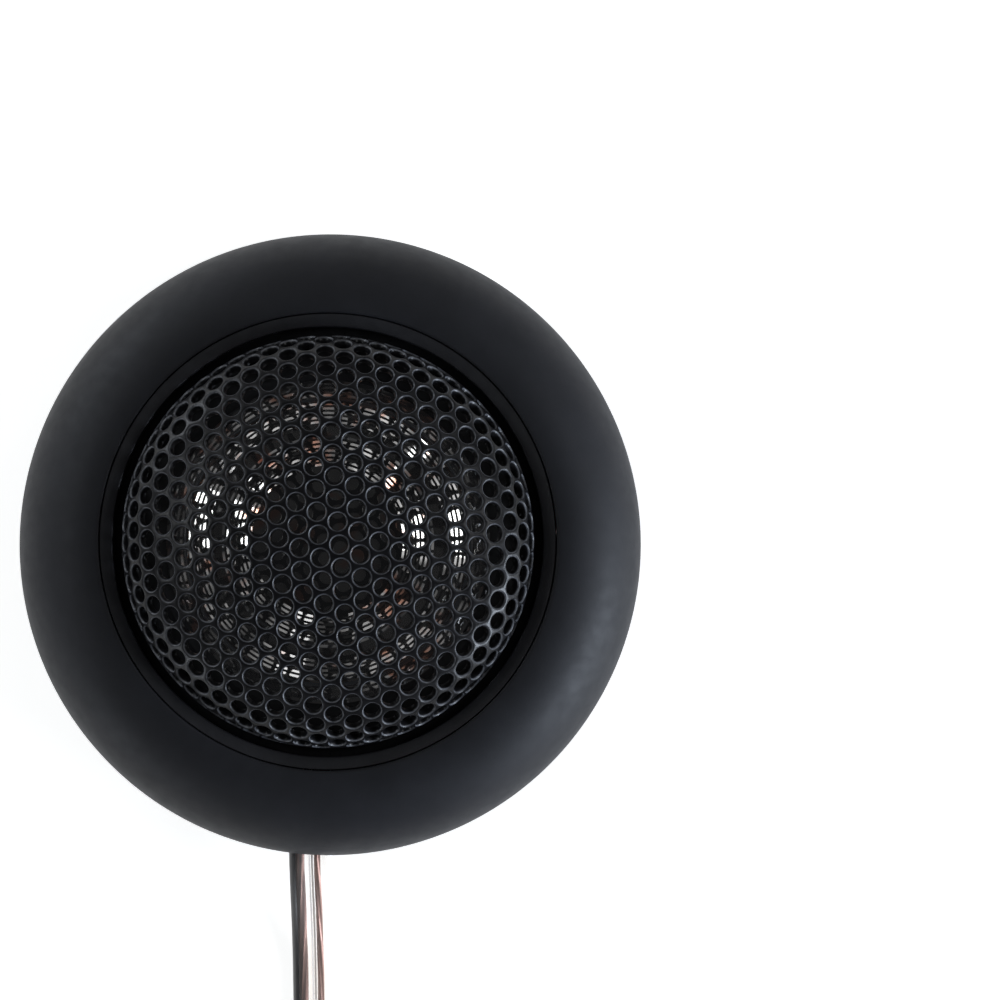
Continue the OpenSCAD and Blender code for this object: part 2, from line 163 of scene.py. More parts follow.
# ---------------------------------------------------------------- routes of the lead and wires
# The lead's points are x, y, z and roll; its ends are measured from the middle of the coil.
CONDUCTOR = 1.9
LEAD = [[-1.8, -19.6, 3.35, 0], [-1.8, -22.5, 3.35, 0], [-1.8, -25.4, 3.35, 0],
        [-1.77, -28, 3.2, 0], [-1.7, -30.5, 2.6, 0], [-1.62, -33, 1.75, 0], [-1.55, -35.5, 1.15, 0],
        [-1.5, -38, 0.96, 0], [-1.44, -42, 0.96, 0], [-1.42, -46, 0.96, 0], [-1.4, -50, 1.15, 15],
        [-1.4, -54, 1.65, 40], [-1.4, -58, 2.1, 65], [-1.4, -62, 2.3, 85], [-1.4, -66, 2.3, 90]]
COIL = Vector((21.55, -74, 0))
COIL_R, COIL_Z = 22.95, 2.3
WIRE_POSITIVE = [[-0.85, -19.6, 3.35], [0.6, -19.2, 4.1], [3.5, -18.9, 5.4], [8.5, -17.2, 6],
                 [13.2, -14.2, 6], [16.6, -9.9, 5.8], [18.6, -4.6, 5.6], [19.2, 0, 5.5],
                 [19.8, 2.3, 5.55], [20.85, 4.6, 5.55]]
WIRE_NEGATIVE = [[-2.75, -19.6, 3.35], [-3.8, -19.2, 4.2], [-5.4, -18.6, 5.3], [-6.8, -17.5, 6],
                 [-7.5, -16.6, 5.8]]
END_POSITIVE = [[-1, 17, 7], [-6, 15.6, 5.8], [-10.6, 12.4, 3.8], [-13.4, 7.6, 2],
                [-13.6, 2, 1.1], [-11.4, -3.6, 0.96], [-7.4, -8, 0.96]]
END_NEGATIVE = [[-1, 17, 5.1], [-5.6, 14.8, 4.2], [-9.2, 11, 2.6], [-10.8, 6, 1.4],
                [-10, 1, 0.98], [-7.4, -3.2, 0.96], [-3.8, -6.4, 0.96]]


def smooth(route, n):
    """Catmull-Rom points, n to each stretch, of a list of points with any number of values."""
    p = np.array(route, float)
    p = np.vstack([p[:1], p, p[-1:]])
    out = []
    for i in range(1, len(p) - 2):
        a, b, c, d = p[i - 1:i + 3]
        for k in range(n):
            t = k / n
            out.append(0.5 * (2 * b + (c - a) * t + (2 * a - 5 * b + 4 * c - d) * t * t
                              + (3 * b - a - 3 * c + d) * t ** 3))
    out.append(p[-1])
    return np.array(out)


def evenly(path, step):
    """The same path with points a step apart."""
    gaps = np.linalg.norm(np.diff(path[:, :3], axis=0), axis=1)
    along = np.concatenate([[0], np.cumsum(gaps)])
    at = np.linspace(0, along[-1], max(2, round(along[-1] / step) + 1))
    return np.column_stack([np.interp(at, along, path[:, k]) for k in range(path.shape[1])])


def ease(t):
    """A smooth step from 0 to 1."""
    t = min(max(t, 0.0), 1.0)
    return t * t * (3 - 2 * t)


def coil_path():
    """Six tracks of the on-edge lead, each moving to the next over a few degrees.

    A move is its start angle, its span, and how far it goes in radius and in height.
    """
    moves = [(480, 40, 0, 3.8), (480 + 360, 20, -1.95, 0), (460 + 720, 40, 0, -3.8),
             (455 + 1080, 20, -1.95, 0), (435 + 1440, 40, 0, 3.8), (2217, 36.4, -2.02, -0.05)]
    turned, steps = 2073.4, 830
    out = []
    for k in range(steps + 1):
        angle = 180 + turned * k / steps
        r = COIL_R + sum(dr * ease((angle - a) / span) for a, span, dr, dz in moves)
        z = COIL_Z + sum(dz * ease((angle - a) / span) for a, span, dr, dz in moves)
        t = math.radians(angle)
        out.append([COIL.x + r * math.cos(t), COIL.y + r * math.sin(t), z, 90])
    return np.array(out)


lead_path = evenly(np.vstack([smooth(LEAD, 8), [[-1.4, -70, 2.3, 90]], coil_path()]), 1.1)


# ---------------------------------------------------------------- mesh helpers
def mesh(name, verts, faces, material, crease=32):
    """An object from points in millimetres, smooth except at edges sharper than crease degrees."""
    data = bpy.data.meshes.new(name)
    data.from_pydata((np.asarray(verts, float) * MM).tolist(), [], faces)
    data.validate()
    data.update()
    data.polygons.foreach_set("use_smooth", [True] * len(data.polygons))
    data.set_sharp_from_angle(angle=math.radians(crease))
    data.materials.append(material)
    return add(name, data)


class Shape:
    """Collects points and faces of one piece."""

    def __init__(self):
        self.verts, self.faces = [], []

    def put(self, verts, faces):
        """Adds points and faces, the faces numbered from these points."""
        base = len(self.verts)
        self.verts += [list(v) for v in verts]
        self.faces += [[base + i for i in f] for f in faces]
        return self

    def lathe(self, profile, steps=180):
        """Turns a closed (r, z) profile round Z."""
        profile = [tuple(p) for p in profile]
        n = len(profile)
        verts, faces = [], []
        for i in range(steps):
            t = 2 * math.pi * i / steps
            verts += [(r * math.cos(t), r * math.sin(t), z) for r, z in profile]
        for i in range(steps):
            j = (i + 1) % steps
            for k in range(n):
                m = (k + 1) % n
                if profile[k][0] < 1e-9 and profile[m][0] < 1e-9:
                    continue
                faces.append([i * n + k, j * n + k, j * n + m, i * n + m])
        return self.put(*weld(verts, faces))

    def block(self, from_deg, to_deg, r0, r1, z0, z1):
        """Part of a ring with softened edges."""
        e, steps = 0.12, 10
        section = [(r0 + e, z0), (r1 - e, z0), (r1, z0 + e), (r1, z1 - e),
                   (r1 - e, z1), (r0 + e, z1), (r0, z1 - e), (r0, z0 + e)]
        rows = []
        for i in range(steps + 1):
            t = math.radians(from_deg + (to_deg - from_deg) * i / steps)
            rows.append([(r * math.cos(t), r * math.sin(t), z) for r, z in section])
        n = len(section)
        faces = [[i * n + k, (i + 1) * n + k, (i + 1) * n + (k + 1) % n, i * n + (k + 1) % n]
                 for i in range(steps) for k in range(n)]
        faces += [list(range(n)), list(range(steps * n, steps * n + n))[::-1]]
        return self.put([v for row in rows for v in row], faces)

    def sweep(self, path, section, spin=None):
        """Carries a closed section [(x, y)] along a path of (x, y, z, roll).

        Spin is the extra turn of the section at each point, in degrees.
        """
        path = np.asarray(path, float)
        p = path[:, :3]
        h = np.gradient(p, axis=0)
        h /= np.linalg.norm(h, axis=1)[:, None]
        u = np.cross([0, 0, 1], h)
        u /= np.linalg.norm(u, axis=1)[:, None]
        v = np.cross(h, u)
        roll = np.radians(path[:, 3] if path.shape[1] > 3 else np.zeros(len(path)))
        s = np.asarray(section, float)
        if s.ndim == 2:
            s = np.repeat(s[None], len(p), axis=0)
        if spin is not None:
            a = np.radians(spin)[:, None]
            centre = s.mean(axis=1, keepdims=True)
            d = s - centre
            s = np.stack([d[..., 0] * np.cos(a) - d[..., 1] * np.sin(a),
                          d[..., 0] * np.sin(a) + d[..., 1] * np.cos(a)], -1) + centre
        c, d = np.cos(roll)[:, None], np.sin(roll)[:, None]
        x = s[..., 0] * c - s[..., 1] * d
        y = s[..., 0] * d + s[..., 1] * c
        pts = p[:, None] + u[:, None] * x[..., None] + v[:, None] * y[..., None]
        n, m = s.shape[1], len(p)
        faces = [[i * n + k, (i + 1) * n + k, (i + 1) * n + (k + 1) % n, i * n + (k + 1) % n]
                 for i in range(m - 1) for k in range(n)]
        faces += [list(range(n)), list(range((m - 1) * n, m * n))[::-1]]
        return self.put(pts.reshape(-1, 3), faces)

    def box(self, x0, x1, y0, y1, z0, z1, e):
        """A block with every edge softened by e."""
        verts, faces = [], []
        for z, inset in ((z0, e), (z0 + e, 0), (z1 - e, 0), (z1, e)):
            a, b, c, d = x0 + inset, x1 - inset, y0 + inset, y1 - inset
            verts += [(a + e, c, z), (b - e, c, z), (b, c + e, z), (b, d - e, z),
                      (b - e, d, z), (a + e, d, z), (a, d - e, z), (a, c + e, z)]
        for i in range(3):
            for k in range(8):
                m = (k + 1) % 8
                faces.append([i * 8 + k, i * 8 + m, i * 8 + 8 + m, i * 8 + 8 + k])
        faces += [list(range(8))[::-1], list(range(24, 32))]
        return self.put(verts, faces)

    def build(self, name, material, crease=32):
        """Makes the object."""
        return mesh(name, self.verts, self.faces, material, crease)


def weld(verts, faces):
    """Joins points at the same place and drops faces that collapse."""
    seen, index, kept = {}, [], []
    for v in verts:
        key = tuple(round(c, 5) for c in v)
        if key not in seen:
            seen[key] = len(kept)
            kept.append(v)
        index.append(seen[key])
    out = []
    for f in faces:
        g = []
        for i in f:
            if index[i] not in g:
                g.append(index[i])
        if len(g) > 2:
            out.append(g)
    return kept, out


def ellipse(cx, cz, a, b, t0, t1, n):
    """Points of an elliptical arc from t0 to t1 degrees."""
    return [(cx + a * math.cos(math.radians(t0 + (t1 - t0) * i / n)),
             cz + b * math.sin(math.radians(t0 + (t1 - t0) * i / n))) for i in range(n + 1)]


def rounded(points, radius, n=3):
    """A closed polygon with each corner rounded by up to radius."""
    out = []
    m = len(points)
    for i in range(m):
        p, a, b = (np.array(points[j % m], float) for j in (i, i - 1, i + 1))
        da, db = np.linalg.norm(a - p), np.linalg.norm(b - p)
        r = min(radius, 0.45 * da, 0.45 * db)
        s, e = p + (a - p) / da * r, p + (b - p) / db * r
        for k in range(n + 1):
            t = k / n
            out.append(tuple((1 - t) ** 2 * s + 2 * t * (1 - t) * p + t * t * e))
    return out


def finish_piece(obj, body, slot, *replaced):
    """Sets the body that a piece rides on and hides the CAD nodes it stands for. The slot is not
    used.
    """
    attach(obj, body)
    if replaced:
        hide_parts(*replaced)
    return obj


# ---------------------------------------------------------------- materials
class Look:
    """A principled material whose colour, roughness and relief come from noise in object space."""

    def __init__(self, name):
        self.mat = bpy.data.materials.new(name)
        self.mat.use_nodes = True
        self.tree = self.mat.node_tree
        self.shader = self.tree.nodes["Principled BSDF"]
        self.out = self.tree.nodes["Material Output"]
        self.where = self.tree.nodes.new("ShaderNodeTexCoord")
        self.normal = None

    def node(self, kind, **values):
        """A new node; each value goes to the input or the setting of that name."""
        n = self.tree.nodes.new(kind)
        for key, value in values.items():
            if key in n.inputs:
                n.inputs[key].default_value = value
            else:
                setattr(n, key, value)
        return n

    def link(self, a, b):
        """Joins an output to an input."""
        self.tree.links.new(a, b)

    def place(self, stretch=(1, 1, 1)):
        """Object coordinates, stretched."""
        n = self.node("ShaderNodeMapping")
        n.inputs["Scale"].default_value = stretch
        self.link(self.where.outputs["Object"], n.inputs["Vector"])
        return n.outputs["Vector"]

    def noise(self, scale, detail=3.0, stretch=(1, 1, 1), rough=0.55):
        """Cloudy noise; scale is its cells a metre."""
        n = self.node("ShaderNodeTexNoise", Scale=scale, Detail=detail, Roughness=rough)
        self.link(self.place(stretch), n.inputs["Vector"])
        return n.outputs["Fac"]

    def cells(self, scale):
        """Distance from the middle of scattered cells, scale of them a metre."""
        n = self.node("ShaderNodeTexVoronoi", Scale=scale)
        self.link(self.place(), n.inputs["Vector"])
        return n.outputs["Distance"]

    def rings(self, scale):
        """Slightly uneven rings round Z, as turning leaves them."""
        n = self.node("ShaderNodeTexWave", wave_type="RINGS", rings_direction="Z", Scale=scale,
                      Distortion=0.3, Detail=2.0)
        self.link(self.place(), n.inputs["Vector"])
        return n.outputs["Fac"]

    def spread(self, value, low, high, start=0.3, end=0.7):
        """A value from start to end, carried over to low to high."""
        return remap(self.tree, value, start, end, low, high)

    def colours(self, value, a, b, start=0.35, end=0.65):
        """A blend from colour a to colour b as the value goes from start to end."""
        n = self.node("ShaderNodeValToRGB")
        n.color_ramp.elements[0].position, n.color_ramp.elements[1].position = start, end
        n.color_ramp.elements[0].color, n.color_ramp.elements[1].color = (*a, 1), (*b, 1)
        self.link(value, n.inputs["Fac"])
        return n.outputs["Color"]

    def mix(self, factor, a, b):
        """Output a where the factor is 0, output b where it is 1."""
        n = self.node("ShaderNodeMix", data_type="RGBA")
        self.link(factor, n.inputs["Factor"])
        self.link(a, n.inputs["A"])
        self.link(b, n.inputs["B"])
        return n.outputs["Result"]

    def bump(self, height, distance, strength):
        """Relief distance metres high, laid over any relief before it."""
        n = self.node("ShaderNodeBump", Strength=strength, Distance=distance)
        self.link(height, n.inputs["Height"])
        if self.normal is not None:
            self.link(self.normal, n.inputs["Normal"])
        self.normal = n.outputs["Normal"]
        self.link(self.normal, self.shader.inputs["Normal"])
        return self

    def set(self, **values):
        """Plain values of the shader's inputs."""
        for key, value in values.items():
            self.shader.inputs[key.replace("_", " ")].default_value = value
        return self

    def colour(self, output):
        """Takes the base colour from an output."""
        self.link(output, self.shader.inputs["Base Color"])
        return self

    def rough(self, output):
        """Takes the roughness from an output."""
        self.link(output, self.shader.inputs["Roughness"])
        return self


def plastic(name, a, b, low, high, grain=3600, depth=6e-6, specular=0.5, patch=260):
    """Moulded plastic: faint tone patches, uneven gloss and a fine texture."""
    look = Look(name)
    tone = look.noise(patch, 4)
    look.colour(look.colours(tone, a, b)).rough(look.spread(look.noise(patch * 3.1, 3), low, high))
    look.bump(look.noise(grain, 2), depth, 0.6).bump(look.noise(grain * 0.16, 2), depth * 1.6, 0.25)
    return look.set(Specular_IOR_Level=specular)


def metal(name, a, b, low, high, grain=900, depth=4e-6, turned=0.0):
    """Bare or plated metal, with turning marks where turned is their count a metre."""
    look = Look(name).set(Metallic=1.0)
    look.colour(look.colours(look.noise(420, 4), a, b))
    look.rough(look.spread(look.noise(grain, 3), low, high))
    if turned:
        look.bump(look.rings(turned), depth, 0.5)
    look.bump(look.noise(grain * 3, 2), depth, 0.4)
    return look


trim_black = plastic("trim_black", (0.0072, 0.0077, 0.0102), (0.0094, 0.01, 0.013), 0.55, 0.63,
                     grain=5200, depth=7e-6, specular=0.26).mat
rim_black = plastic("rim_black", (0.0125, 0.0125, 0.0145), (0.016, 0.016, 0.0185), 0.42, 0.52,
                    grain=5200, depth=6e-6, specular=0.35).mat
base_black = plastic("base_black", (0.014, 0.014, 0.016), (0.022, 0.022, 0.025), 0.42, 0.6,
                     grain=4200, depth=1.2e-5).mat
cup_black = plastic("cup_black", (0.008, 0.008, 0.009), (0.013, 0.013, 0.014), 0.5, 0.65,
                    specular=0.25).mat
tie_black = plastic("tie_black", (0.012, 0.012, 0.013), (0.02, 0.02, 0.021), 0.35, 0.5).mat
rubber_black = plastic("rubber_black", (0.014, 0.014, 0.014), (0.022, 0.021, 0.021), 0.55, 0.72,
                       grain=2600, depth=1.4e-5, specular=0.35).mat
sleeve_blue = plastic("sleeve_blue", (0.012, 0.035, 0.13), (0.02, 0.05, 0.18), 0.22, 0.36,
                      grain=1800).mat
wire_red = plastic("wire_red", (0.32, 0.014, 0.01), (0.42, 0.022, 0.014), 0.3, 0.42, grain=2400).mat
wire_black = plastic("wire_black", (0.012, 0.012, 0.013), (0.02, 0.02, 0.021), 0.3, 0.42,
                     grain=2400).mat
# Black stripe along the lead: painted shade for the clear jacket's dark refracted edge.
refraction_shade_black = plastic("refraction_shade_black", (0.016, 0.015, 0.016), (0.028, 0.026, 0.027), 0.28, 0.4,
                       grain=2600).mat
former_amber = plastic("former_amber", (0.2, 0.075, 0.015), (0.28, 0.11, 0.025), 0.2, 0.34).mat
steel = metal("steel", (0.42, 0.42, 0.44), (0.55, 0.55, 0.56), 0.24, 0.42, turned=2600).mat
nickel = metal("nickel", (0.55, 0.54, 0.52), (0.66, 0.65, 0.62), 0.12, 0.28).mat
brass = metal("brass", (0.58, 0.47, 0.24), (0.72, 0.62, 0.38), 0.22, 0.4).mat
solder = metal("solder", (0.52, 0.52, 0.53), (0.72, 0.72, 0.73), 0.14, 0.45,
               grain=1500, depth=2e-5).mat
aluminium = metal("aluminium", (0.66, 0.67, 0.68), (0.78, 0.79, 0.8), 0.2, 0.38, turned=1900).mat
tinned = metal("tinned_wire", (0.5, 0.5, 0.51), (0.68, 0.68, 0.69), 0.2, 0.42, grain=1800).mat
screw_zinc = metal("screw_zinc", (0.46, 0.47, 0.5), (0.62, 0.63, 0.65), 0.2, 0.4, grain=1400).mat
copper = metal("copper", (0.62, 0.24, 0.12), (0.78, 0.36, 0.2), 0.18, 0.34, grain=1600).mat
strand_copper = metal("strand_copper", (0.25, 0.145, 0.12), (0.36, 0.21, 0.175), 0.38, 0.52,
                      grain=1500).set(Metallic=0.55).mat


def foam_look():
    """Open-celled black foam."""
    look = Look("foam")
    cells = look.cells(2300)
    look.colour(look.colours(cells, (0.012, 0.012, 0.013), (0.038, 0.038, 0.04), 0.1, 0.6))
    look.rough(look.spread(look.noise(700), 0.8, 0.95))
    look.bump(cells, 9e-5, 0.8).bump(look.noise(600, 4), 6e-5, 0.5)
    return look.mat


def felt_look():
    """Matted black fibres, crossing in two directions."""
    look = Look("felt").set(Sheen_Weight=0.25, Specular_IOR_Level=0.1)
    hair = look.noise(2600, 5, (1, 5, 2), 0.7)
    look.colour(look.colours(hair, (0.004, 0.004, 0.0045), (0.014, 0.014, 0.015)))
    look.rough(look.spread(look.noise(900), 0.88, 0.98))
    look.bump(hair, 1.2e-4, 0.9).bump(look.noise(1900, 4, (6, 1, 2), 0.7), 9e-5, 0.7)
    return look.mat


def grille_look():
    """Satin black paint, lighter along the rim of each hole as painted highlight for the glint on
    its rounded edge.
    """
    look = Look("grille_black").set(Specular_IOR_Level=0.2)
    tone = look.noise(500, 4)
    paint = look.colours(tone, (0.0045, 0.0045, 0.0052), (0.007, 0.007, 0.008))
    # Painted highlight: a lighter paint colour, mixed in by the rim attribute, stands in for the
    # glint along each hole's edge.
    edge = look.node("ShaderNodeAttribute", attribute_name="rim")
    painted_glint = look.colours(look.noise(1300, 3), (0.045, 0.047, 0.053), (0.12, 0.124, 0.136))
    look.colour(look.mix(edge.outputs["Fac"], paint, painted_glint))
    look.rough(look.spread(look.noise(1100), 0.26, 0.38))
    look.bump(look.noise(3300, 2), 7e-6, 0.6).bump(look.noise(700, 2), 1.4e-5, 0.35)
    return look.mat


def see_through(name, a, b, least, low, high, tint, ior, ripple=(420, 3e-5), fine=(2600, 4e-6)):
    """A clear skin that shows its own colour and gloss more at a slant.

    Least is the share of its own colour seen face on; ripple and fine are each a noise's cells a
    metre and its height.
    """
    look = Look(name)
    look.colour(look.colours(look.noise(300, 3), a, b, 0.36, 0.46))
    look.rough(look.spread(look.noise(800), low, high))
    look.bump(look.noise(ripple[0], 3), ripple[1], 0.5).bump(look.noise(fine[0], 2), fine[1], 0.4)
    clear = look.node("ShaderNodeBsdfTransparent", Color=(*tint, 1))
    slant = look.node("ShaderNodeFresnel", IOR=ior)
    share = look.spread(slant.outputs["Fac"], least, 1.0, 0.0, 1.0)
    both = look.node("ShaderNodeMixShader")
    look.link(share, both.inputs["Fac"])
    look.link(clear.outputs[0], both.inputs[1])
    look.link(look.shader.outputs[0], both.inputs[2])
    look.link(both.outputs[0], look.out.inputs["Surface"])
    return look


foam = foam_look()
felt = felt_look()
grille_paint = grille_look()
# Copper patches among silver in the film's metallic colour are painted reflection of the copper
# winding below it.
film = see_through("film", (0.62, 0.33, 0.24), (0.55, 0.545, 0.54), 0.5, 0.03, 0.06,
                   (0.93, 0.9, 0.85), 1.75, (200, 1.6e-5), (500, 1e-6))
# The film's faint bluish glow is painted light that lifts the black seen through the grille.
film = film.set(Metallic=1.0, Emission_Color=(0.85, 0.9, 1.0, 1.0), Emission_Strength=0.006).mat
clear_pvc = see_through("clear_pvc", (0.9, 0.86, 0.82), (0.96, 0.93, 0.9), 0.1, 0.14, 0.24,
                        (0.99, 0.98, 0.965), 1.25).mat


# ---------------------------------------------------------------- trim ring
def trim_ring():
    """Convex hollow ring with a roofed notch for the lead and three tabs inside."""
    outside = [(27.3, 0.9), (27.44, 0.96), (27.5, 1.1), (27.5, 3.2), (27.5, 5.2)]
    outside += ellipse(20.6, 5.4, 6.9, 7.4, 0, 90, 44)
    outside += [(20.3, 12.8), (20.17, 12.78), (20.08, 12.72), (20.05, 12.6), (20.05, 11.2),
                (20.05, 9.42), (20.12, 9.3), (21.12, 9.3), (21.2, 9.38)]
    vault = ellipse(20.6, 5.4, 5.5, 6.0, 83.7, 0, 26)
    inside = vault + [(26.1, 5.2), (26.1, 3.2), (26.1, 1.02), (26.2, 0.9)]
    profile = outside + inside
    # Over the notch only the part above its roof is kept, from low_out round to low_in.
    n, low_out, low_in = len(profile), outside.index((27.5, 5.2)), len(outside + vault)
    steps, notch, notch_ends = 360, 28, -87.75
    verts, faces = [], []
    for i in range(steps):
        t = math.radians(notch_ends + i)
        verts += [(r * math.cos(t), r * math.sin(t), z) for r, z in profile]
    open_rows = range(steps - notch, steps)
    for i in range(steps):
        j = (i + 1) % steps
        kept = [k for k in range(n) if i not in open_rows or low_out <= k < low_in]
        faces += [[i * n + k, j * n + k, j * n + (k + 1) % n, i * n + (k + 1) % n] for k in kept]
        if i in open_rows:
            faces.append([i * n + low_in, j * n + low_in, j * n + low_out, i * n + low_out])
    side = [*range(low_in, n), *range(low_out + 1)]
    faces += [side, [(steps - notch) * n + k for k in side][::-1]]
    shape = Shape().put(verts, faces)
    for a in (90, 210, 330):
        shape.block(a - 5, a + 5, 24.9, 26.25, 2.9, 4.1)
    obj = shape.build("trim_ring_skin", trim_black, 28)
    return finish_piece(obj, "trim_ring", "trim_black", "bezel_ring")


def clamp_rim():
    """Rim that holds the grille down, with its step inside."""
    section = [(18.85, 11.1), (19.3, 11.1), (19.3, 9.3), (19.98, 9.3), (19.98, 12.6), (18.85, 12.3)]
    obj = Shape().lathe(rounded(section, 0.14), 300).build("front_rim_skin", rim_black)
    return finish_piece(obj, "driver", "rim_black", "front_rim")


# ---------------------------------------------------------------- grille
# The sheet is a crown, a shoulder and an upright wall; each _ARC or _END is measured along it.
GRILLE_R, CROWN_R, SHOULDER_R, SHEET = 18.1, 40.0, 6.0, 0.7
WALL_TOP, WALL_FOOT, SOLID_EDGE = 11.9, 11.1, 0.98
SHOULDER_AT = GRILLE_R - SHOULDER_R
BLEND = math.asin(SHOULDER_AT / (CROWN_R - SHOULDER_R))
CROWN_Z = WALL_TOP - math.sqrt((CROWN_R - SHOULDER_R) ** 2 - SHOULDER_AT ** 2)
CROWN_ARC = CROWN_R * BLEND
WALL_ARC = CROWN_ARC + SHOULDER_R * (math.pi / 2 - BLEND)
SHEET_END = WALL_ARC + WALL_TOP - WALL_FOOT
HOLES_END = SHEET_END - SOLID_EDGE


def formed(rho, inset):
    """Radius and height of the pressed sheet at a flat distance rho from its centre."""
    on_crown = rho / CROWN_R
    on_shoulder = BLEND + (rho - CROWN_ARC) / SHOULDER_R
    r = np.where(rho < CROWN_ARC, (CROWN_R - inset) * np.sin(on_crown),
                 np.where(rho < WALL_ARC, SHOULDER_AT + (SHOULDER_R - inset) * np.sin(on_shoulder),
                          GRILLE_R - inset))
    z = np.where(rho < CROWN_ARC, CROWN_Z + (CROWN_R - inset) * np.cos(on_crown),
                 np.where(rho < WALL_ARC, WALL_TOP + (SHOULDER_R - inset) * np.cos(on_shoulder),
                          WALL_TOP + WALL_ARC - rho))
    return r, z


def grille_sheet():
    """Hexagonal cells of a flat punched sheet, formed over the crown, shoulder and wall.

    Each ring of a hole is its radius, its depth in the sheet, and how much painted highlight
    lightens its paint there.
    """
    pitch, turn, sides, reach = 2.0, 34.5, 24, 14
    first = np.array([-0.55, 0.29])
    a = pitch * np.array([math.cos(math.radians(turn)), math.sin(math.radians(turn))])
    b = pitch * np.array([math.cos(math.radians(turn + 60)), math.sin(math.radians(turn + 60))])
    angles = np.radians(turn - 30 + 15 * np.arange(sides))
    rays = np.column_stack([np.cos(angles), np.sin(angles)])
    off = (np.degrees(angles) - turn + 30) % 60 - 30
    hexagon = rays * (pitch / 2 / np.cos(np.radians(off)))[:, None]
    rings = [(0.92, 0.0, 0.0), (0.89, 0.01, 0.0), (0.86, 0.035, 1.0), (0.81, 0.1, 1.0),
             (0.78, 0.18, 0.0), (0.75, 0.34, 0.0), (0.745, SHEET - 0.08, 0.0), (0.78, SHEET, 0.0)]
    flat, inset, rim, faces, known = [], [], [], [], {}

    def point(p, depth, painted_glint=0.0):
        flat.append(p)
        inset.append(depth)
        rim.append(painted_glint)
        return len(flat) - 1

    def shared(p, depth):
        d = np.linalg.norm(p)
        if d > SHEET_END:
            p = p * (SHEET_END / d)
        key = (round(p[0], 3), round(p[1], 3), depth)
        if key not in known:
            known[key] = point(p, depth)
        return known[key]

    def strip(one, two):
        for k in range(sides):
            m = (k + 1) % sides
            quad = []
            for v in (one[k], one[m], two[m], two[k]):
                if v not in quad:
                    quad.append(v)
            if len(quad) > 2:
                faces.append(quad)

    for i in range(-reach, reach + 1):
        for j in range(-reach, reach + 1):
            c = first + i * a + j * b
            d = np.linalg.norm(c)
            if d > SHEET_END + 0.65 * pitch:
                continue
            top = [shared(c + h, 0.0) for h in hexagon]
            under = [shared(c + h, SHEET) for h in hexagon]
            if d > HOLES_END:
                if len(set(top)) > 2 and d < SHEET_END:
                    for loop, depth, turnover in ((top, 0.0, 1), (under, SHEET, -1)):
                        middle = point(c, depth)
                        for k in range(sides):
                            tri = [loop[k], loop[(k + 1) % sides], middle][::turnover]
                            if len(set(tri)) == 3:
                                faces.append(tri)
                elif len(set(top)) > 2:
                    for loop, turnover in ((top, 1), (under, -1)):
                        ring = list(dict.fromkeys(loop))
                        faces.append(ring[::turnover])
                continue
            out = c / d
            side = np.array([-out[1], out[0]])
            # Forming narrows the sheet round the rim; widening the holes there keeps them open.
            ratio = float(formed(np.array(d), 0.0)[0]) / d
            wide = (0.35 + 0.65 * ratio) / ratio
            before = top
            # The third value is painted highlight along the hole's rounded rim.
            for radius, depth, painted_glint in rings:
                loop = [point(c + radius * (out * (q @ out) + side * wide * (q @ side)), depth,
                              painted_glint) for q in rays]
                strip(before, loop)
                before = loop
            strip(before, under)
    flat, inset = np.array(flat), np.array(inset)
    rho = np.linalg.norm(flat, axis=1)
    r, z = formed(rho, inset)
    unit = flat / np.maximum(rho, 1e-9)[:, None]
    obj = mesh("grille_sheet", np.column_stack([unit * r[:, None], z]), faces, grille_paint, 40)
    layer = obj.data.attributes.new("rim", "FLOAT", "POINT")
    layer.data.foreach_set("value", np.array(rim, np.float32))
    return finish_piece(obj, "driver", "grille_black", "grille")


def grille_flange():
    """Flat lip at the foot of the grille."""
    section = [(17.4, 10.6), (19.25, 10.6), (19.25, 11.08), (18.1, 11.08), (18.1, 11.3),
               (17.4, 11.3)]
    obj = Shape().lathe(rounded(section, 0.12), 240).build("grille_flange", grille_paint)
    return finish_piece(obj, "driver", "grille_black")


# ---------------------------------------------------------------- film, winding and felt
def pleats(r, z, count, pitch, steep, level):
    """Points of fine concentric pleats, each a steep face then a nearly level one."""
    line = []
    for _ in range(count):
        line += [(r, z), (r + pitch / 2, z - steep * pitch / 2)]
        r += pitch
        z -= (steep + level) * pitch / 2
    return line


def film_piece(name, line):
    """A thin formed film turned round Z, with sharp folds kept crisp."""
    thick = 0.07
    under = [(r, z - thick) for r, z in line[::-1]]
    return Shape().lathe(under + line, 240).build(name, film, 12)


def diaphragm():
    """Flattened dome: a low crown, pleats, a groove, more pleats, and a skirt."""
    line = [(6.6 * i / 12, 13.55 - 0.4 * (i / 12) ** 2) for i in range(12)]
    line += pleats(6.6, 13.15, 6, 0.41, 0.43, 0.05)
    line += [(9.06, 12.56), (9.3, 12.06), (9.7, 12.03), (10.1, 12.02), (10.35, 11.95)]
    line += pleats(10.4, 11.9, 5, 0.4, 0.43, 0.05)
    line += [(12.4, 11.42), (12.7, 10.9)]
    obj = film_piece("dome_film", line)
    return finish_piece(obj, "diaphragm", "film", "dome")


def film_edge():
    """Outer part of the film, from the skirt to where it is glued down."""
    line = [(12.7, 10.9)] + pleats(12.8, 10.88, 2, 0.45, 0.5, 0.2)
    line += [(13.7, 10.56), (13.9, 10.5), (14.7, 10.5), (15.5, 10.5), (16.4, 10.5)]
    obj = film_piece("surround_film", line)
    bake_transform(obj)
    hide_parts("surround")


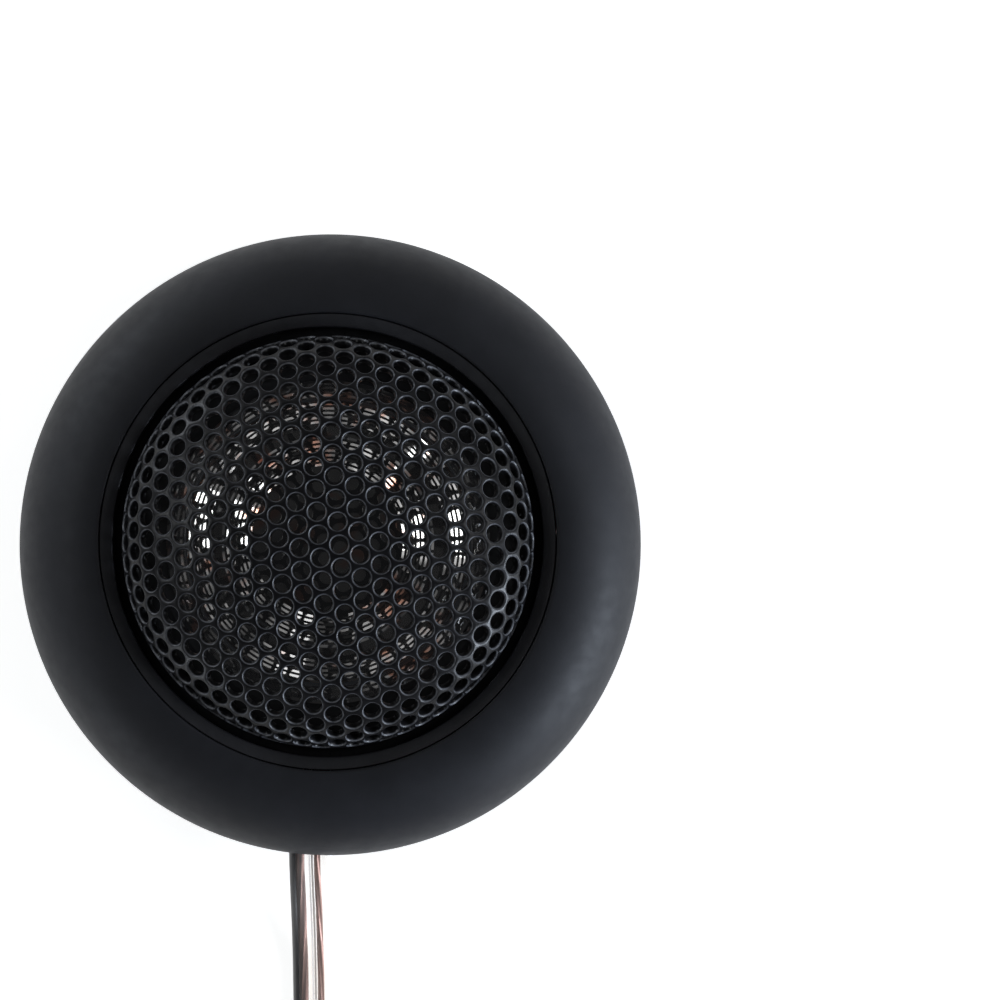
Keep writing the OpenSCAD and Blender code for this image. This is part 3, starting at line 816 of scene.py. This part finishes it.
def winding():
    """Three layers of fine wire, twelve turns high."""
    turns, layers = 12, 3
    step = 1.5 / turns
    outer = []
    for k in range(turns):
        z = 7.8 + step * (k + 0.5)
        outer += [(12.6 + 0.05 * math.cos(t), z + step / 2 * math.sin(t))
                  for t in (-1.2, -0.4, 0.4, 1.2)]
    top = []
    for k in range(layers):
        r = 12.592 - 0.117 * k
        top += [(r + 0.058 * math.cos(t), 9.24 + 0.058 * math.sin(t)) for t in (0.5, 1.57, 2.64)]
    profile = outer + top + [(12.3, 9.2), (12.3, 7.8)]
    obj = Shape().lathe(profile).build("voice_coil_winding", copper, 60)
    return finish_piece(obj, "diaphragm", "copper", "voice_coil")


def felt_disc():
    """Pressed felt with an uneven nap and a soft cut edge."""
    radius, edge_from, nap_to, bottom, top = 9.0, 8.5, 8.9, 9.3, 10.06
    verts, faces, rings, steps = [], [], 22, 96
    for upper in (False, True):
        for i in range(rings):
            r = radius * (i / (rings - 1)) ** 0.8
            drop = 0.14 * max(0, (r - edge_from) / 0.5) ** 2
            for k in range(steps):
                t = 2 * math.pi * k / steps
                nap = 0.03 * rng.uniform(-1, 1) if upper and r < nap_to else 0
                z = (top - drop + nap) if upper else (bottom + drop)
                verts.append((r * math.cos(t), r * math.sin(t), z))
    for i in range(rings - 1):
        for k in range(steps):
            m = (k + 1) % steps
            q = [i * steps + k, i * steps + m, (i + 1) * steps + m, (i + 1) * steps + k]
            faces.append(q)
            faces.append([rings * steps + v for v in q][::-1])
    edge = (rings - 1) * steps
    for k in range(steps):
        m = (k + 1) % steps
        faces.append([edge + k, edge + m, rings * steps + edge + m, rings * steps + edge + k])
    obj = mesh("damping_felt", verts, faces, felt, 80)
    return finish_piece(obj, "driver", "felt", "damping_pad")


# ---------------------------------------------------------------- foam pad
def plate(name, radius, holes, z0, z1, soft, material):
    """A round plate with holes and softened edges, made from a filled flat curve."""
    curve = bpy.data.curves.new(name, "CURVE")
    curve.dimensions = "2D"
    curve.fill_mode = "BOTH"
    curve.extrude = ((z1 - z0) / 2 - soft) * MM
    curve.bevel_depth = soft * MM
    curve.bevel_resolution = 2
    for x, y, r, n in [(0, 0, radius - soft, 180)] + [(x, y, r + soft, 64) for x, y, r in holes]:
        spline = curve.splines.new("POLY")
        spline.points.add(n - 1)
        spline.use_cyclic_u = True
        for k, p in enumerate(spline.points):
            t = 2 * math.pi * k / n
            p.co = ((x + r * math.cos(t)) * MM, (y + r * math.sin(t)) * MM, 0, 1)
    maker = add(name + "_outline", curve)
    bpy.context.view_layer.update()
    made = maker.evaluated_get(bpy.context.evaluated_depsgraph_get())
    data = bpy.data.meshes.new_from_object(made)
    bpy.data.objects.remove(maker)
    data.transform(Matrix.Translation((0, 0, (z0 + z1) / 2 * MM)))
    data.name = name
    data.materials.clear()
    data.materials.append(material)
    data.polygons.foreach_set("use_smooth", [True] * len(data.polygons))
    data.set_sharp_from_angle(angle=math.radians(32))
    return add(name, data)


def foam_pad():
    """Foam under the base, open in the middle and at the two screws."""
    holes = [(0, 0, 7.0), (22.5, 0, 2.4), (-22.5, 0, 2.4)]
    obj = plate("mounting_foam", 25.3, holes, 0.0, 0.8, 0.12, foam)
    finish_piece(obj, "driver", "foam", "mounting_pad")


# ---------------------------------------------------------------- lead, its coil and its ends
def figure_eight():
    """Section of the twin lead: two round lobes joined by a thin web."""
    half = CONDUCTOR / 2
    right = [(half - half * math.cos(t), half * math.sin(t))
             for t in np.linspace(math.radians(17), math.radians(343), 13)][::-1]
    left = [(-x, -y) for x, y in right]
    return right + left


def lobed(cx, radius):
    """Section of a bunch of strands: seven lobes round (cx, 0)."""
    out, lobes = [], 7
    for k in range(lobes * 3):
        t = 2 * math.pi * k / (lobes * 3)
        r = radius * (1.0 if k % 3 == 0 else 0.84)
        out.append((cx + r * math.cos(t), r * math.sin(t)))
    return out


def round_section(d):
    """Sixteen points of a circle of diameter d."""
    n = 16
    return [(d / 2 * math.cos(2 * math.pi * k / n), d / 2 * math.sin(2 * math.pi * k / n))
            for k in range(n)]


def refraction_shade_section():
    """Section of a dark stripe, a thin arc let into the outer side of the left lobe: painted shade
    standing in for the dark edge that refraction gives the clear jacket.
    """
    middle, outer, inner, half = -0.95, 0.965, 0.9, 1.15
    angles = np.linspace(-half, half, 9)
    out = [(middle - outer * math.cos(t), outer * math.sin(t)) for t in angles]
    return out + [(middle - inner * math.cos(t), inner * math.sin(t)) for t in angles[::-1]]


def conductor_end(name, route):
    """One split conductor: clear insulation, the strands in it and a twisted, tinned tip."""
    stripped = 3
    path = smooth(route, 3)[:, :3] + np.array(COIL)
    covered = evenly(path[:len(path) - stripped], 0.7)
    bare = evenly(path[len(path) - 1 - stripped:], 0.35)
    skin = Shape().sweep(covered, round_section(CONDUCTOR)).build(name + "_insulation", clear_pvc)
    core = Shape().sweep(covered, lobed(0, 0.36), 18.0 * np.arange(len(covered)))
    core = core.build(name + "_strands", strand_copper, 60)
    tip = Shape().sweep(bare, lobed(0, 0.5), 13.0 * np.arange(len(bare)))
    return [skin, core, tip.build(name + "_tip", tinned, 60)]


def cable_tie():
    """Nylon tie: a plain band round the coil, a head, and a short tail with ribs."""
    half_long, half_wide, thick, bottom, top = 3.35, 1.2, 0.32, 0.02, 8.35
    y0, y1 = COIL.y - 21 - half_long, COIL.y - 21 + half_long
    outer = rounded([(y0, bottom), (y1, bottom), (y1, top), (y0, top)], 1.3, 5)
    inner = rounded([(y0 + thick, bottom + thick), (y1 - thick, bottom + thick),
                     (y1 - thick, top - thick), (y0 + thick, top - thick)], 1.0, 5)
    shape = Shape()
    n = len(outer)
    verts = [(COIL.x + x, y, z) for x in (-half_wide, half_wide) for loop in (outer, inner)
             for y, z in loop]
    faces = []
    for k in range(n):
        m = (k + 1) % n
        faces += [[k, m, 2 * n + m, 2 * n + k], [n + m, n + k, 3 * n + k, 3 * n + m],
                  [k, n + k, n + m, m], [2 * n + k, 2 * n + m, 3 * n + m, 3 * n + k]]
    shape.put(verts, faces)
    blocks = [(2.0, -23.4, -19.4, -0.1, 2.2, 0.3), (1.2, -19.5, -16.6, 0.7, 1.3, 0.12)]
    blocks += [(0.8, -19.2 + 0.5 * k, -18.94 + 0.5 * k, 1.25, 1.42, 0.05) for k in range(5)]
    for half, y0, y1, z0, z1, soft in blocks:
        shape.box(COIL.x - half, COIL.x + half, COIL.y + y0, COIL.y + y1, top + z0, top + z1, soft)
    obj = shape.build("cable_tie_band", tie_black)
    return finish_piece(obj, "driver", "tie_black", "cable_tie")


def lead():
    """The jacket, what shows inside it, its two split ends and its tie."""
    count = len(lead_path)
    jacket = Shape().sweep(lead_path, figure_eight()).build("lead_jacket", clear_pvc, 50)
    left = Shape().sweep(lead_path, lobed(-0.95, 0.42), 9.0 * np.arange(count))
    right = Shape().sweep(lead_path, lobed(0.57, 0.3), -9.0 * np.arange(count))
    pieces = [left.build("lead_strands_left", strand_copper, 60),
              right.build("lead_strands_right", strand_copper, 60),
              Shape().sweep(lead_path, refraction_shade_section()).build("lead_refraction_shade", refraction_shade_black, 50)]
    ends = [conductor_end("lead_end_positive", END_POSITIVE),
            conductor_end("lead_end_negative", END_NEGATIVE)]
    for obj in [jacket, *pieces, *ends[0], *ends[1]]:
        finish_piece(obj, "driver", "clear_pvc")
    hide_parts("cable", "cable_coil")
    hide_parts("lead_end_positive")
    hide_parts("lead_end_negative")
    tie = cable_tie()


# ---------------------------------------------------------------- wires and strain relief inside
def wire(name, route, material, slot, node):
    """A round insulated wire along a route."""
    path = evenly(smooth(route, 6), 0.6)
    obj = Shape().sweep(path, round_section(1.18)).build(name, material)
    return finish_piece(obj, "driver", slot, node)


def strain_relief():
    """Flexible sleeve round the lead: a plain part, then ribs four rows wide."""
    starts, length, rows, plain_rows, rib_rows = -20.85, 4.5, 47, 12, 4
    sections, path = [], []
    for k in range(rows):
        full = k < plain_rows or (k // rib_rows) % 2 == 0
        wide, tall = (2.95, 1.27) if full else (2.6, 1.1)
        sections.append(rounded([(-wide, -tall), (wide, -tall), (wide, tall), (-wide, tall)], 0.5))
        path.append((-1.8, starts - length * k / (rows - 1), 3.7))
    shape = Shape().sweep(np.array(path), np.array(sections))
    obj = shape.build("strain_relief_sleeve", rubber_black, 40)
    return finish_piece(obj, "driver", "rubber_black", "strain_relief")


# ---------------------------------------------------------------- making it all
lead()
trim_ring()
clamp_rim()
grille_sheet()
grille_flange()
diaphragm()
film_edge()
winding()
felt_disc()
foam_pad()
wire("hookup_wire_red", WIRE_POSITIVE, wire_red, "wire_red", "hookup_wire_positive")
wire("hookup_wire_black", WIRE_NEGATIVE, wire_black, "wire_black", "hookup_wire_negative")
strain_relief()

# Pieces whose CAD shape is kept and only given a look.
CAD_LOOKS = {
    "mounting_base": base_black, "cable_clamp": base_black, "rear_cup": cup_black,
    "retaining_ring": cup_black, "diaphragm_ring": cup_black, "voice_coil_former": former_amber,
    "top_plate": steel, "yoke": steel, "magnet": nickel, "terminal_positive": brass,
    "terminal_negative": brass, "solder_joints": solder, "coil_lead_positive": copper,
    "coil_lead_negative": copper, "capacitor_can": aluminium, "capacitor_sleeve": sleeve_blue,
    "capacitor_bung": rubber_black, "capacitor_leads": tinned, "case_screws": screw_zinc,
}
for node_name, look in CAD_LOOKS.items():
    for slot_of in nodes[node_name].material_slots:
        slot_of.material = look


def floor():
    """Bright white floor, glowing a little so that it stays white in the shade."""
    look = Look("floor").set(Specular_IOR_Level=0.1, Emission_Color=(1, 1, 0.99, 1),
                             Emission_Strength=FLOOR_GLOW)
    look.colour(look.colours(look.noise(3, 3), (0.86, 0.86, 0.855), (0.88, 0.88, 0.875)))
    look.rough(look.spread(look.noise(20), 0.85, 0.95)).bump(look.noise(500, 2), 1e-5, 0.1)
    h = FLOOR_HALF
    obj = mesh("floor", [(-h, -h, 0), (h, -h, 0), (h, h, 0), (-h, h, 0)], [[0, 1, 2, 3]], look.mat)


floor()
bpy.context.view_layer.update()
